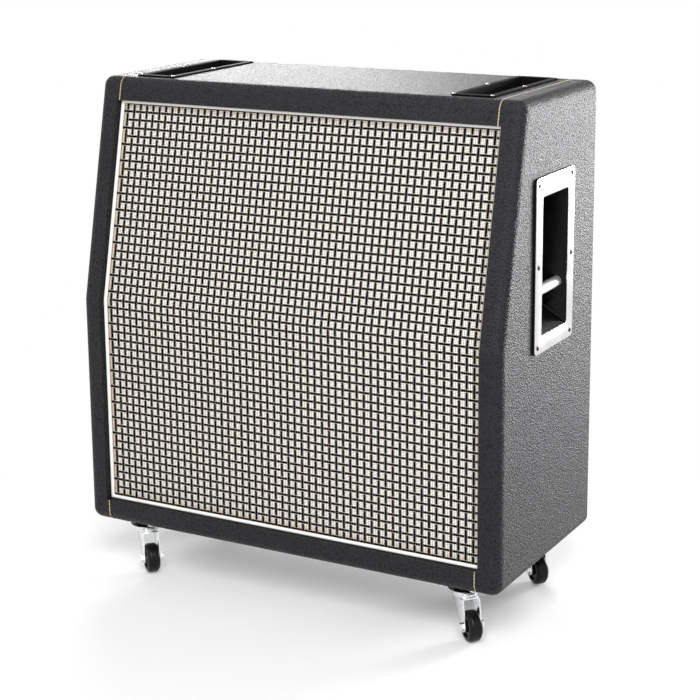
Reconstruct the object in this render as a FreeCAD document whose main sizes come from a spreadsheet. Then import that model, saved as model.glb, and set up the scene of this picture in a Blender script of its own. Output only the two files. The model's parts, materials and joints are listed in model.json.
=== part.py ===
import FreeCAD, Part
import math
import os
import re
import Sketcher

# An angled-front guitar speaker cabinet on castors.
# Millimetres, +Z up, front towards -Y, origin on the floor under the middle of the box.

SIZES = {
    # Box over its covering
    "cabinet_width": 770,
    "cabinet_depth": 365,
    "cabinet_height": 755,
    "kink_above_middle": 10.5,
    "setback": 80,
    "edge_radius": 18,
    "back_edge_radius": 4,
    "covering": 1,
    "panel": 18,
    # Front border, recess and grille
    "border_side": 36,
    "border_end": 38,
    "recess": 17,
    "cloth": 1.5,
    "cloth_clearance": 0.3,
    "piping_diameter": 6,
    "piping_clearance": 0.2,
    "seam_inset": 41,
    "seam_cord": 1.5,
    "seam_clearance": 0.05,
    # Baffles and what stiffens them
    "baffle": 18,
    "baffle_clearance": 1,
    "cleat_width": 12,
    "cleat_depth": 20,
    "brace_below": 20,
    "brace_above": 8,
    "brace_depth": 40,
    "post_width": 40,
    "post_height": 36,
    # Rear panel and its battens
    "rear_recess": 3,
    "rear_panel": 12,
    "rear_clearance": 1,
    "rear_batten": 20,
    "rear_screw_inset": 11,
    "rear_screw_radius": 4.5,
    "rear_screw_head": 1.5,
    # Jack dish and socket in the rear panel
    "jack_height": 250,
    "dish_radius": 33,
    "dish_floor_radius": 27,
    "dish_flange": 7,
    "dish_lip": 2,
    "dish_depth": 24,
    "dish_wall": 2,
    "dish_clearance": 0.3,
    "jack_bore_radius": 3.25,
    "jack_bush_radius": 5.5,
    "jack_sleeve_radius": 9,
    "jack_sleeve_length": 22,
    "jack_bush_proud": 5,
    "jack_nut_radius": 8,
    "jack_nut_thickness": 2.5,
    # Room that each pair of loudspeakers leaves on its board, and the radius of a common one
    "speaker_side_margin": 24.5,
    "speaker_mid_gap": 39,
    "speaker_low_margin": 21.5,
    "speaker_below_kink": 23.5,
    "speaker_above_kink": 20.5,
    "speaker_top_margin": 11.2,
    "speaker_common_radius": 152.5,
    "basket_window_angle": 40,
    "basket_windows": 6,
    "suspension_clearance": 0.3,
    "bolts_each": 4,
    # Thickness of the magnets, and bolts, the same in a loudspeaker of any radius
    "magnet_length": 38,
    "magnet_plate": 7,
    "bolt_radius": 4.5,
    "bolt_head": 4,
    # Flat twin cable from the socket to the loudspeakers
    "cable_width": 4,
    "cable_thickness": 2,
    "cable_spread": 1.5,
    "cable_lead": 34,
    "cable_bend": 24,
    # Side handles
    "handle_height": 495,
    "handle_from_front": 191.5,
    "handle_length": 276,
    "handle_width": 151,
    "handle_plate": 1.5,
    "handle_corner": 8,
    "cup_flange": 3,
    "cup_length": 219,
    "cup_width": 101,
    "cup_drop": 2.5,
    "cup_depth": 70,
    "cup_wall": 2,
    "cup_floor_rise": 45,
    "cup_roof_fall": 10,
    "cup_corner": 5,
    "cup_clearance": 1,
    "grip_radius": 8.5,
    "grip_setback": 18,
    "grip_below_centre": 43.5,
    "handle_screw_inset": 11,
    "handle_screw_radius": 4,
    "screw_head": 1.6,
    # Top trays
    "tray_width": 74,
    "tray_from_back": 15,
    "tray_from_front": 18,
    "tray_from_side": 96,
    "tray_rim": 2.5,
    "tray_flange": 10,
    "tray_depth": 14,
    "tray_wall": 2,
    "tray_corner": 5,
    "tray_clearance": 0.5,
    "tray_screw_inset": 5,
    "tray_screw_radius": 3.2,
    # Castors
    "castor_height": 92,
    "castor_from_side": 81,
    "castor_from_end": 52,
    "castor_yaw": 42,
    "castor_trail": 27,
    "castor_plate": 64,
    "castor_plate_thickness": 3,
    "castor_screw_pitch": 50,
    "castor_screw_radius": 5,
    "castor_screw_head": 3,
    "race_radius": 18,
    "race_height": 16,
    "kingpin_radius": 6,
    "kingpin_head_radius": 10,
    "kingpin_head": 4,
    "swivel_gap": 0.3,
    "running_fit": 0.05,
    "bowl_radius": 27.5,
    "bowl_floor_radius": 21,
    "bowl_height": 10,
    "bowl_neck": 3,
    "bowl_sheet": 2.5,
    "fork_sheet": 2.5,
    "fork_heel": 20,
    "fork_toe": 24,
    "fork_bend": 4,
    "fork_eye_radius": 8.5,
    "wheel_radius": 25,
    "wheel_width": 22,
    "wheel_side_gap": 1.5,
    "wheel_shoulder": 7,
    "wheel_rim_radius": 17,
    "wheel_dish": 3,
    "hub_radius": 9,
    "axle_radius": 4,
    "axle_nut_radius": 7,
    "axle_nut": 4.5,
    # Every cut runs this far past what it cuts
    "overrun": 10,
}

# Lengths of a loudspeaker of the common radius, which grow and shrink with its basket
SPEAKER = {
    "speaker_cutout_radius": 140,
    "basket_depth": 88,
    "basket_flange": 14,
    "basket_sheet": 2,
    "basket_rim": 6,
    "basket_back_radius": 88,
    "basket_throat_radius": 46,
    "basket_window_inner": 92,
    "basket_window_outer": 126,
    "magnet_radius": 72,
    "magnet_plate_radius": 55,
    "gap_radius": 23.3,
    "pole_radius": 21.4,
    "coil_radius": 22.4,
    "coil_wall": 0.6,
    "coil_depth": 6,
    "cone_radius": 118,
    "cone_neck_depth": 66,
    "cone_paper": 1.4,
    "cone_lift": 4,
    "cap_radius": 42,
    "cap_height": 13,
    "edge_sheet": 1,
    "edge_wave": 4,
    "spider_radius": 60,
    "terminal_width": 20,
    "terminal_length": 10,
    "terminal_height": 8,
}

# Sizes that follow from the others, so that what they place still fits
FITTED = {
    "kink_height": "cabinet_height / 2 + kink_above_middle",
    "tray_length": "cabinet_depth - setback - tray_from_back - tray_from_front",
    "tray_spacing": "cabinet_width - 2 * tray_from_side",
    "castor_spacing": "cabinet_width - 2 * castor_from_side",
    "board_half": "cabinet_width / 2 - border_side",
    "board_slope": "sqrt(1 + (setback / (cabinet_height - kink_height)) ^ 2)",
    "upper_board": "(cabinet_height - border_end - kink_height) * board_slope",
    "room_across": "board_half - speaker_side_margin - speaker_mid_gap / 2",
    "room_below": "kink_height - border_end - speaker_low_margin - speaker_below_kink",
    "room_above": "upper_board - speaker_above_kink - speaker_top_margin",
    "basket_radius": "min(room_across; room_below; room_above) / 2",
    "speaker_scale": "basket_radius / speaker_common_radius",
    "speaker_spacing": "room_across + speaker_mid_gap",
    "speaker_low_height": "border_end + speaker_low_margin + room_below / 2",
    "speaker_high_reach": "speaker_above_kink + room_above / 2",
}

doc = FreeCAD.newDocument("speaker_cabinet")
sheet = doc.addObject("Spreadsheet::Sheet", "Sizes")
rows = {name: str(size) for name, size in SIZES.items()}
rows.update({name: f"={formula}" for name, formula in FITTED.items()})
rows.update({name: f"={length} * speaker_scale" for name, length in SPEAKER.items()})
for row, (size_name, content) in enumerate(rows.items(), start=1):
    sheet.setAlias(f"A{row}", size_name)
    sheet.set(f"A{row}", content)
doc.recompute()

WORD = re.compile(r"[a-z_]+")
FULL_TURN = 360
# Two measures nearer than this are the same
SLACK = 0.001
X_AXIS = FreeCAD.Vector(1, 0, 0)
Y_AXIS = FreeCAD.Vector(0, 1, 0)
Z_AXIS = FreeCAD.Vector(0, 0, 1)
nodes = []


# Formulas and how they are bound

def cells(formula):
    """Write a formula of size names as a formula of sheet cells."""
    return WORD.sub(lambda word: f"Sizes.{word[0]}" if word[0] in rows else word[0], formula)


def value(formula):
    """The number that a formula of size names gives now."""
    found = sheet.evalExpression(cells(formula))
    return float(getattr(found, "Value", found))


def point(spot):
    return FreeCAD.Vector(*(value(formula) for formula in spot))


def bind(piece, **formulas):
    for name, formula in formulas.items():
        piece.setExpression(name, cells(formula))


def place(piece, spot, axis=None, angle=None):
    """Put a piece at a spot, turned about an axis by an angle, all of them formulas."""
    if axis is not None:
        piece.Placement = FreeCAD.Placement(FreeCAD.Vector(), FreeCAD.Rotation(axis, value(angle)))
        piece.setExpression("Placement.Rotation.Angle", cells(angle))
    for letter, formula in zip("xyz", spot):
        piece.setExpression(f"Placement.Base.{letter}", cells(formula))
    return piece


def node(piece, label):
    """Name a finished sub-part and keep it for writing."""
    piece.Label = label
    nodes.append(piece)
    return piece


# Solids and booleans

def block(name, low, high):
    piece = doc.addObject("Part::Box", name)
    for side, start, end in zip(("Length", "Width", "Height"), low, high):
        bind(piece, **{side: f"{end} - ({start})"})
    return place(piece, low)


def cylinder(name, spot, radius, length, axis=None, angle=None):
    piece = doc.addObject("Part::Cylinder", name)
    bind(piece, Radius=radius, Height=length)
    return place(piece, spot, axis, angle)


def hexagon(name, spot, radius, length, axis=None, angle=None):
    piece = doc.addObject("Part::Prism", name)
    piece.Polygon = 6
    bind(piece, Circumradius=radius, Height=length)
    return place(piece, spot, axis, angle)


def fuse(name, *pieces):
    piece = doc.addObject("Part::MultiFuse", name)
    piece.Shapes = list(pieces)
    return piece


def cut(name, base, *tools):
    piece = doc.addObject("Part::Cut", name)
    piece.Base = base
    piece.Tool = tools[0] if len(tools) == 1 else fuse(f"{name}_cutters", *tools)
    return piece


def common(name, first, second):
    piece = doc.addObject("Part::Common", name)
    piece.Base = first
    piece.Tool = second
    return piece


def group(name, pieces):
    piece = doc.addObject("Part::Compound", name)
    piece.Links = pieces
    return piece


# Bodies drawn from sketches

def body(name):
    return doc.addObject("PartDesign::Body", name)


def sketch(owner, plane, offset=None):
    drawing = owner.newObject("Sketcher::SketchObject", f"{owner.Name}_sketch")
    support = next(item for item in owner.Origin.OriginFeatures if item.Role == plane)
    drawing.AttachmentSupport = [(support, "")]
    drawing.MapMode = "FlatFace"
    if offset is not None:
        drawing.setExpression("AttachmentOffset.Base.z", cells(offset))
    return drawing


def hold(drawing, line, position, spot):
    """Fix a sketch point by its two coordinates, each a formula."""
    for kind, axis, formula in zip(("DistanceX", "DistanceY"), (-2, -1), spot):
        if formula == "0":
            drawing.addConstraint(Sketcher.Constraint("PointOnObject", line, position, axis))
            continue
        number = drawing.addConstraint(Sketcher.Constraint(kind, line, position, value(formula)))
        drawing.setExpression(f"Constraints[{number}]", cells(formula))


def polygon(drawing, spots):
    """Draw a closed outline of straight edges through spots given as formulas."""
    first = drawing.GeometryCount
    corners = [FreeCAD.Vector(value(across), value(up), 0) for across, up in spots]
    for start, end in zip(corners, corners[1:] + corners[:1]):
        drawing.addGeometry(Part.LineSegment(start, end))
    for index, spot in enumerate(spots):
        line = first + index
        before = first + (index - 1) % len(spots)
        drawing.addConstraint(Sketcher.Constraint("Coincident", before, 2, line, 1))
        hold(drawing, line, 1, spot)


def rectangle(drawing, low, high):
    polygon(drawing, [low, (high[0], low[1]), high, (low[0], high[1])])


def circle(drawing, spot, radius):
    centre = FreeCAD.Vector(value(spot[0]), value(spot[1]), 0)
    index = drawing.addGeometry(Part.Circle(centre, Z_AXIS, value(radius)))
    number = drawing.addConstraint(Sketcher.Constraint("Radius", index, value(radius)))
    drawing.setExpression(f"Constraints[{number}]", cells(radius))
    hold(drawing, index, 3, spot)


def pad(owner, drawing, length, both_ways=False, backwards=False):
    feature = owner.newObject("PartDesign::Pad", f"{owner.Name}_pad")
    feature.Profile = drawing
    feature.SideType = "Symmetric" if both_ways else "One side"
    feature.Reversed = backwards
    bind(feature, Length=length)
    return feature


def pocket(owner, drawing, length=None, both_ways=False, backwards=False):
    """Cut a sketch into a body, by a length or right through it."""
    feature = owner.newObject("PartDesign::Pocket", f"{owner.Name}_pocket")
    feature.Profile = drawing
    feature.SideType = "Symmetric" if both_ways else "One side"
    feature.Reversed = backwards
    if length is None:
        feature.Type = "ThroughAll"
    else:
        bind(feature, Length=length)
    return feature


def revolve(owner, drawing):
    feature = owner.newObject("PartDesign::Revolution", f"{owner.Name}_turned")
    feature.Profile = drawing
    feature.ReferenceAxis = (drawing, ["V_Axis"])
    return feature


def turned(name, outline):
    """A body turned about its own Z axis from a half outline of radius and height."""
    piece = body(name)
    profile = sketch(piece, "XZ_Plane")
    polygon(profile, outline)
    revolve(piece, profile)
    return piece


def round_edges(owner, radius, wanted):
    """Round the edges of a body that a test picks."""
    doc.recompute()
    base = owner.Tip
    names = [f"Edge{index}" for index, edge in enumerate(base.Shape.Edges, start=1) if wanted(edge)]
    feature = owner.newObject("PartDesign::Fillet", f"{owner.Name}_round")
    feature.Base = (base, names)
    bind(feature, Radius=radius)
    return feature


# Faces of the box

FRONT = "(-cabinet_depth / 2)"
BACK = "(cabinet_depth / 2)"
BASE = "castor_height"
TOP = "(castor_height + cabinet_height)"
KINK = "(castor_height + kink_height)"
HALF = "(cabinet_width / 2)"
TILT = "atan(setback / (cabinet_height - kink_height))"
MIDDLE = "(castor_height + cabinet_height / 2)"

# Depths behind the front and spans of the front opening
BAFFLE_FACE = "(recess + cloth)"
BAFFLE_BACK = "(recess + cloth + baffle)"
FRAME_BACK = "(recess + cloth + baffle + cleat_depth)"
BRACE_BACK = "(recess + cloth + baffle + brace_depth)"
OPEN_HALF = "(cabinet_width / 2 - border_side)"
OPEN_LOW = "(castor_height + border_end)"
OPEN_HIGH = "(castor_height + cabinet_height - border_end)"

# Inner faces of the plywood
INNER_HALF = "(cabinet_width / 2 - covering - panel)"
INNER_LOW = "(castor_height + covering + panel)"
INNER_HIGH = "(castor_height + cabinet_height - covering - panel)"
REAR_PANEL_BACK = "(cabinet_depth / 2 - rear_recess)"
REAR_PANEL_FRONT = "(cabinet_depth / 2 - rear_recess - rear_panel)"


def front_low(depth):
    """Where the upright lower front lies, a depth behind its face."""
    return f"({FRONT} + {depth})"


def front_kink(depth):
    """Height of the fold between the two fronts, a depth behind their faces."""
    return f"({KINK} - ({depth}) * tan({TILT} / 2))"


def front_high(depth, height):
    """Where the leaning upper front lies at a height, a depth behind its face."""
    return f"({FRONT} + ({depth}) / cos({TILT}) + ({height} - {KINK}) * tan({TILT}))"


def slab(name, near, far, half, bottom, top):
    """A board that follows the bent front between two depths behind it."""
    piece = body(name)
    profile = sketch(piece, "YZ_Plane")
    polygon(profile, [
        (front_low(near), bottom),
        (front_low(near), front_kink(near)),
        (front_high(near, top), top),
        (front_high(far, top), top),
        (front_low(far), front_kink(far)),
        (front_low(far), bottom),
    ])
    pad(piece, profile, f"2 * {half}", both_ways=True)
    return piece


def envelope(name, inset):
    """The whole outer form, drawn in from the covering's face by an inset."""
    piece = body(name)
    profile = sketch(piece, "YZ_Plane")
    low = f"({BASE} + {inset})"
    high = f"({TOP} - ({inset}))"
    rear = f"({BACK} - ({inset}))"
    polygon(profile, [
        (front_low(inset), low),
        (front_low(inset), front_kink(inset)),
        (front_high(inset, high), high),
        (rear, high),
        (rear, low),
    ])
    pad(piece, profile, f"2 * ({HALF} - ({inset}))", both_ways=True)
    rear_face = value(rear)
    fold = value(front_kink(inset))

    def at_rear(edge):
        return edge.BoundBox.YMin > rear_face - SLACK

    def at_fold(edge):
        middle = edge.CenterOfMass
        return abs(middle.x) < SLACK and abs(middle.z - fold) < SLACK

    round_edges(piece, f"edge_radius - ({inset})", lambda edge: not at_rear(edge) and not at_fold(edge))
    round_edges(piece, f"back_edge_radius - ({inset})", at_rear)
    return piece


def rear_well(name, half, low, high):
    """The pocket in the back that the rear panel drops into."""
    return block(name, (f"-{half}", REAR_PANEL_FRONT, low), (half, f"{BACK} + overrun", high))


# Cut-outs for handles and trays

HANDLE_Y = f"({FRONT} + handle_from_front)"
HANDLE_Z = f"({BASE} + handle_height)"
CUP_Z = f"({BASE} + handle_height - cup_drop)"
TRAY_Y = f"({BACK} - tray_from_back - tray_length / 2)"

handle_hole = block(
    "handle_hole",
    (f"-{HALF} - overrun", f"{HANDLE_Y} - cup_width / 2 - cup_wall - cup_clearance",
     f"{CUP_Z} - cup_length / 2 - cup_wall - cup_clearance"),
    (f"{HALF} + overrun", f"{HANDLE_Y} + cup_width / 2 + cup_wall + cup_clearance",
     f"{CUP_Z} + cup_length / 2 + cup_wall + cup_clearance"),
)


def tray_hole(name, side):
    reach = "(tray_width / 2 - tray_flange + tray_clearance)"
    span = "(tray_length / 2 - tray_flange + tray_clearance)"
    middle = f"({side} * tray_spacing / 2)"
    return block(
        name,
        (f"{middle} - {reach}", f"{TRAY_Y} - {span}", f"{INNER_HIGH} - overrun"),
        (f"{middle} + {reach}", f"{TRAY_Y} + {span}", f"{TOP} + overrun"),
    )


tray_holes = fuse("tray_holes", tray_hole("left_tray_hole", -1), tray_hole("right_tray_hole", 1))

# Plywood panels under the covering: top and bottom run the full width, the sides stand between them

wood_form = envelope("wood_form", "covering")
WIDE = f"({HALF} + overrun)"
FORE = f"({FRONT} - overrun)"
AFT = f"({BACK} + overrun)"

top_blank = common("top_blank", wood_form, block(
    "top_zone", (f"-{WIDE}", FORE, INNER_HIGH), (WIDE, AFT, f"{TOP} + overrun")))
node(cut("top_panel", top_blank, tray_holes), "top_panel")
node(common("bottom_panel", wood_form, block(
    "bottom_zone", (f"-{WIDE}", FORE, f"{BASE} - overrun"), (WIDE, AFT, INNER_LOW))), "bottom_panel")
for side, low, high in (("left", f"-{WIDE}", f"-{INNER_HALF}"), ("right", INNER_HALF, WIDE)):
    blank = common(f"{side}_blank", wood_form, block(
        f"{side}_zone", (low, FORE, INNER_LOW), (high, AFT, INNER_HIGH)))
    node(cut(f"{side}_panel", blank, handle_hole), f"{side}_panel")

# Covering: a skin over the panels that turns into the front recess and the rear well

cover_form = envelope("cover_form", "0")
cover_blank = cut(
    "cover_blank", cover_form,
    slab("front_recess", "-overrun", BAFFLE_FACE, OPEN_HALF, OPEN_LOW, OPEN_HIGH),
    rear_well("rear_opening", f"({INNER_HALF} - covering)", f"{INNER_LOW} + covering",
              f"{INNER_HIGH} - covering"),
)
core = cut(
    "core", wood_form,
    slab("wood_recess", "-overrun", BAFFLE_FACE, f"({OPEN_HALF} + covering)",
         f"({OPEN_LOW} - covering)", f"({OPEN_HIGH} + covering)"),
    rear_well("wood_well", INNER_HALF, INNER_LOW, INNER_HIGH),
)
skin = cut("skin", cover_blank, core, handle_hole, tray_holes)
SEAM = f"({HALF} - seam_inset)"
SEAM_HALF = "(seam_cord / 2 + seam_clearance)"
SKIN_ZONES = {
    "covering_top": ((f"-{SEAM} + {SEAM_HALF}", FORE, MIDDLE),
                     (f"{SEAM} - {SEAM_HALF}", AFT, f"{TOP} + overrun")),
    "covering_bottom": ((f"-{SEAM} + {SEAM_HALF}", FORE, f"{BASE} - overrun"),
                        (f"{SEAM} - {SEAM_HALF}", AFT, MIDDLE)),
    "covering_left": ((f"-{WIDE}", FORE, f"{BASE} - overrun"),
                      (f"-{SEAM} - {SEAM_HALF}", AFT, f"{TOP} + overrun")),
    "covering_right": ((f"{SEAM} + {SEAM_HALF}", FORE, f"{BASE} - overrun"),
                       (WIDE, AFT, f"{TOP} + overrun")),
}
for label, (low, high) in SKIN_ZONES.items():
    node(common(label, skin, block(f"{label}_zone", low, high)), label)

# Cord in each seam, from the lip of the front border over the edge and back

cord_form = envelope("cord_form", "covering - seam_cord")
cord_shell = cut("cord_shell", cord_form, wood_form)
CORD_ZONES = [(OPEN_HIGH, f"{TOP} + overrun"), (f"{BASE} - overrun", OPEN_LOW)]
cords = []
for side in (-1, 1):
    for low, high in CORD_ZONES:
        strip = block(
            "cord_zone",
            (f"{side} * {SEAM} - seam_cord / 2", FORE, low),
            (f"{side} * {SEAM} + seam_cord / 2", f"{BACK} - back_edge_radius", high))
        cords.append(common("seam_cord_strip", cord_shell, strip))
node(group("seam_cords", cords), "seam_cords")

# Front frame: a lip round the baffle and a cleat behind it

lip = cut(
    "frame_lip",
    slab("lip_blank", "covering", BAFFLE_BACK, INNER_HALF, INNER_LOW, INNER_HIGH),
    slab("lip_opening", "-overrun", f"{BAFFLE_BACK} + overrun", f"({OPEN_HALF} + covering)",
         f"({OPEN_LOW} - covering)", f"({OPEN_HIGH} + covering)"),
)
cleat = cut(
    "frame_cleat",
    slab("cleat_blank", BAFFLE_BACK, FRAME_BACK, INNER_HALF, INNER_LOW, INNER_HIGH),
    slab("cleat_opening", "recess", f"{FRAME_BACK} + overrun", f"({OPEN_HALF} - cleat_width)",
         f"({OPEN_LOW} + cleat_width)", f"({OPEN_HIGH} - cleat_width)"),
)
node(fuse("front_frame", lip, cleat), "front_frame")

# Grille cloth over the baffles

node(slab("grille_cloth", "recess", BAFFLE_FACE, f"({OPEN_HALF} - cloth_clearance)",
          f"({OPEN_LOW} + cloth_clearance)", f"({OPEN_HIGH} - cloth_clearance)"), "grille_cloth")

# Loudspeaker places: a spot on the back of the baffle and the turn that faces +Z into the box

LOW_TURN = "-90 deg"
HIGH_TURN = f"-(90 deg + {TILT})"


def behind_low(across, below, depth):
    """A spot behind the lower baffle, from a loudspeaker's own axes."""
    return (across, f"{front_low(BAFFLE_BACK)} + {depth}", f"{BASE} + speaker_low_height - ({below})")


def behind_high(across, below, depth):
    """A spot behind the upper baffle, from a loudspeaker's own axes."""
    rise = f"(speaker_high_reach - ({below}))"
    reach = f"({BAFFLE_BACK} + {depth})"
    return (
        across,
        f"{FRONT} + {rise} * sin({TILT}) + {reach} * cos({TILT})",
        f"{KINK} + {rise} * cos({TILT}) - {reach} * sin({TILT})",
    )


SPEAKERS = {
    "upper_left": (-1, behind_high, HIGH_TURN),
    "upper_right": (1, behind_high, HIGH_TURN),
    "lower_left": (-1, behind_low, LOW_TURN),
    "lower_right": (1, behind_low, LOW_TURN),
}


def speaker_middle(side):
    return f"({side} * speaker_spacing / 2)"


# Baffles

def baffle(label, outline, places):
    blank = body(f"{label}_blank")
    profile = sketch(blank, "YZ_Plane")
    polygon(profile, outline)
    pad(blank, profile, f"2 * ({OPEN_HALF} + covering - baffle_clearance)", both_ways=True)
    holes = []
    for side, behind, turn in places:
        spot = behind(speaker_middle(side), "0", "-baffle - overrun")
        holes.append(cylinder("speaker_hole", spot, "speaker_cutout_radius", "baffle + 2 * overrun",
                              X_AXIS, turn))
    node(cut(label, blank, *holes), label)


BAFFLE_LOW = f"({OPEN_LOW} - covering + baffle_clearance)"
BAFFLE_HIGH = f"({OPEN_HIGH} + covering - baffle_clearance)"
baffle("baffle_lower", [
    (front_low(BAFFLE_FACE), BAFFLE_LOW),
    (front_low(BAFFLE_FACE), front_kink(BAFFLE_FACE)),
    (front_low(BAFFLE_BACK), front_kink(BAFFLE_BACK)),
    (front_low(BAFFLE_BACK), BAFFLE_LOW),
], [SPEAKERS["lower_left"], SPEAKERS["lower_right"]])
baffle("baffle_upper", [
    (front_low(BAFFLE_FACE), front_kink(BAFFLE_FACE)),
    (front_high(BAFFLE_FACE, BAFFLE_HIGH), BAFFLE_HIGH),
    (front_high(BAFFLE_BACK, BAFFLE_HIGH), BAFFLE_HIGH),
    (front_low(BAFFLE_BACK), front_kink(BAFFLE_BACK)),
], [SPEAKERS["upper_left"], SPEAKERS["upper_right"]])

# Brace behind the joint of the baffles, and the post from it to the rear panel

node(slab("baffle_brace", BAFFLE_BACK, BRACE_BACK, f"({OPEN_HALF} - cleat_width)",
          f"({KINK} - brace_below)", f"({KINK} + brace_above)"), "baffle_brace")
post_blank = block(
    "post_blank",
    ("-post_width / 2", front_low(BAFFLE_BACK), f"{KINK} + brace_above - post_height"),
    ("post_width / 2", REAR_PANEL_FRONT, f"{KINK} + brace_above"))
node(cut("centre_post", post_blank, slab(
    "post_seat", "0", BRACE_BACK, "post_width", INNER_LOW, INNER_HIGH)), "centre_post")

# Rear panel, its battens and screws

JACK_Z = f"({BASE} + jack_height)"
PANEL_HALF = f"({INNER_HALF} - covering - rear_clearance)"
PANEL_LOW = f"({INNER_LOW} + covering + rear_clearance)"
PANEL_HIGH = f"({INNER_HIGH} - covering - rear_clearance)"
rear_blank = block("rear_blank", (f"-{PANEL_HALF}", REAR_PANEL_FRONT, PANEL_LOW),
                   (PANEL_HALF, REAR_PANEL_BACK, PANEL_HIGH))
jack_hole = cylinder("jack_hole", ("0", f"{REAR_PANEL_FRONT} - overrun", JACK_Z),
                     "dish_radius + dish_wall + dish_clearance", "rear_panel + 2 * overrun",
                     X_AXIS, LOW_TURN)
node(cut("rear_panel", rear_blank, jack_hole), "rear_panel")

BATTEN_FRONT = f"({REAR_PANEL_FRONT} - rear_batten)"
battens = [
    block("top_batten", (f"-{INNER_HALF}", BATTEN_FRONT, f"{INNER_HIGH} - rear_batten"),
          (INNER_HALF, REAR_PANEL_FRONT, INNER_HIGH)),
    block("bottom_batten", (f"-{INNER_HALF}", BATTEN_FRONT, INNER_LOW),
          (INNER_HALF, REAR_PANEL_FRONT, f"{INNER_LOW} + rear_batten")),
]
for side, low, high in (("left", f"-{INNER_HALF}", f"-{INNER_HALF} + rear_batten"),
                        ("right", f"{INNER_HALF} - rear_batten", INNER_HALF)):
    battens.append(block(
        f"{side}_batten", (low, BATTEN_FRONT, f"{INNER_LOW} + rear_batten"),
        (high, REAR_PANEL_FRONT, f"{INNER_HIGH} - rear_batten")))
node(group("rear_battens", battens), "rear_battens")

SCREW_X = f"({PANEL_HALF} - rear_screw_inset)"
SCREW_LOW = f"({PANEL_LOW} + rear_screw_inset)"
SCREW_HIGH = f"({PANEL_HIGH} - rear_screw_inset)"
rear_screw_spots = [("0", SCREW_LOW), ("0", SCREW_HIGH)]
for side in (-1, 1):
    for height in (SCREW_LOW, MIDDLE, SCREW_HIGH):
        rear_screw_spots.append((f"{side} * {SCREW_X}", height))
node(group("rear_panel_screws", [
    cylinder("rear_screw", (across, REAR_PANEL_BACK, height), "rear_screw_radius", "rear_screw_head",
             X_AXIS, LOW_TURN)
    for across, height in rear_screw_spots]), "rear_panel_screws")

# Jack dish, turned about the plug's axis, with +Z out of the back

DISH_TURN = "-90 deg"
DISH_OUTER = "(dish_radius + dish_wall)"
jack_dish = turned("jack_dish", [
    ("jack_bush_radius", "-dish_depth"),
    ("dish_floor_radius", "-dish_depth"),
    ("dish_radius", "dish_lip"),
    (f"{DISH_OUTER} + dish_flange", "dish_lip"),
    (f"{DISH_OUTER} + dish_flange", "0"),
    (DISH_OUTER, "0"),
    ("dish_floor_radius + dish_wall", "-dish_depth - dish_wall"),
    ("jack_bush_radius", "-dish_depth - dish_wall"),
])
node(place(jack_dish, ("0", REAR_PANEL_BACK, JACK_Z), X_AXIS, DISH_TURN), "jack_dish")

SOCKET_BACK = "(-dish_depth - dish_wall - jack_sleeve_length)"
socket_bush = turned("socket_bush", [
    ("jack_bore_radius", "-dish_depth + jack_bush_proud"),
    ("jack_bush_radius", "-dish_depth + jack_bush_proud"),
    ("jack_bush_radius", "-dish_depth - dish_wall"),
    ("jack_sleeve_radius", "-dish_depth - dish_wall"),
    ("jack_sleeve_radius", f"{SOCKET_BACK} - dish_wall"),
    ("0", f"{SOCKET_BACK} - dish_wall"),
    ("0", SOCKET_BACK),
    ("jack_bore_radius", SOCKET_BACK),
])
socket_nut = cut(
    "socket_nut",
    hexagon("nut_blank", ("0", "0", "-dish_depth"), "jack_nut_radius", "jack_nut_thickness"),
    cylinder("nut_hole", ("0", "0", "-dish_depth - overrun"), "jack_bush_radius",
             "jack_nut_thickness + 2 * overrun"))
jack_socket = group("jack_socket", [socket_bush, socket_nut])
node(place(jack_socket, ("0", REAR_PANEL_BACK, JACK_Z), X_AXIS, DISH_TURN), "jack_socket")

# Loudspeaker pieces, each drawn with +Z into the box from the back of the baffle

CONE_BACK = "(cone_neck_depth + cone_paper)"
COIL_OUTER = "(coil_radius + coil_wall)"
EDGE_INNER = "(cone_radius + suspension_clearance)"
EDGE_OUTER = "(basket_radius - basket_flange - basket_sheet)"
SPIDER_DEPTH = "(cone_neck_depth + cone_paper + edge_wave)"
SPIDER_SEAT = f"({SPIDER_DEPTH} + edge_sheet)"
BOLT_CIRCLE = f"(({EDGE_OUTER} + basket_radius) / 2)"
CAP_SHOULDER_SHARE = 0.25


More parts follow.
